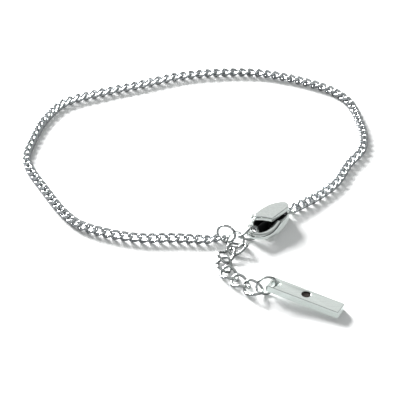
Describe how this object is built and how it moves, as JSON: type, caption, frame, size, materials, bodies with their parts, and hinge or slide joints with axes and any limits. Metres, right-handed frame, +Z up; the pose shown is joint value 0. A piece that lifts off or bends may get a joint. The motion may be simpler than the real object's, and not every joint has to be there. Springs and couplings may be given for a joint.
{
  "type": "chain bracelet",
  "caption": "Fine curb chain bracelet lying closed, with a lobster clasp hooked into its extender chain and a flat rectangular bar hanging from the extender's end.",
  "frame": {"origin": "middle of the bracelet's footprint, on the table it lies on", "axes": "+Z up from the table, +Y from the bar across the loop to its far side, +X to the right seen from the bar"},
  "size_m": [0.0626, 0.0744, 0.0038],
  "materials": {
    "chain_steel": "polished stainless steel wire",
    "ring_steel": "polished stainless steel wire",
    "clasp_steel": "cast and tumbled stainless steel",
    "extender_steel": "polished stainless steel wire",
    "bar_steel": "finely ground stainless steel"
  },
  "bodies": {
    "bracelet": {"chain": "chain_steel", "chain_end_ring": "ring_steel", "linking_ring": "ring_steel", "clasp_body": "clasp_steel", "clasp_link": "extender_steel", "extender_link_1": "extender_steel", "extender_link_2": "extender_steel", "extender_link_3": "extender_steel", "extender_link_4": "extender_steel", "extender_link_5": "extender_steel", "extender_link_6": "extender_steel", "bar_ring": "ring_steel", "bar": "bar_steel"},
    "lever": {"clasp_lever": "clasp_steel"}
  },
  "joints": [
    {"name": "clasp_lever_hinge", "type": "hinge", "parent": "bracelet", "child": "lever", "pos_m": [0.01481, -0.01037, 0.001], "axis": [0, 0, 1], "range_deg": [0, 20], "stiffness_Nm_per_rad": 0.00002}
  ]
}
